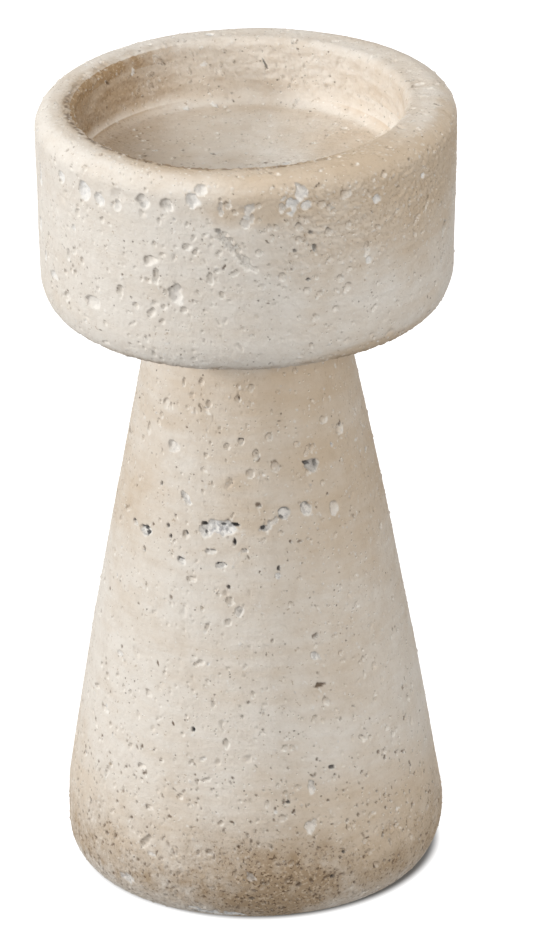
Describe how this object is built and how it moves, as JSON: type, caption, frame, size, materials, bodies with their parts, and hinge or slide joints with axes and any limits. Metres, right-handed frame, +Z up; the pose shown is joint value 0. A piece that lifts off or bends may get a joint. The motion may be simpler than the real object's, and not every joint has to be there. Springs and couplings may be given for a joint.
{
  "type": "pillar candle holder",
  "caption": "Round shallow cup with a thick rounded rim, bedded on a hollow tapered pedestal with a soft rounded foot; holds a pillar candle.",
  "frame": {"origin": "on the table, under the middle of the foot, level with the underside of the felt pads", "axes": "+Z up the pedestal's axis, towards the cup's mouth; the holder is round, so +X and +Y point between pads"},
  "size_m": [0.11, 0.11, 0.216],
  "materials": {
    "cast_cement": "matt, pitted, with a beige wash",
    "mortar": "matt",
    "dowel_steel": "zinc plated",
    "felt": "pressed felt"
  },
  "bodies": {
    "root": {"cup": "cast_cement", "pedestal": "cast_cement", "joint_mortar": "mortar", "dowel_pin": "dowel_steel", "foot_pad_1": "felt", "foot_pad_2": "felt", "foot_pad_3": "felt", "foot_pad_4": "felt"}
  },
  "joints": []
}
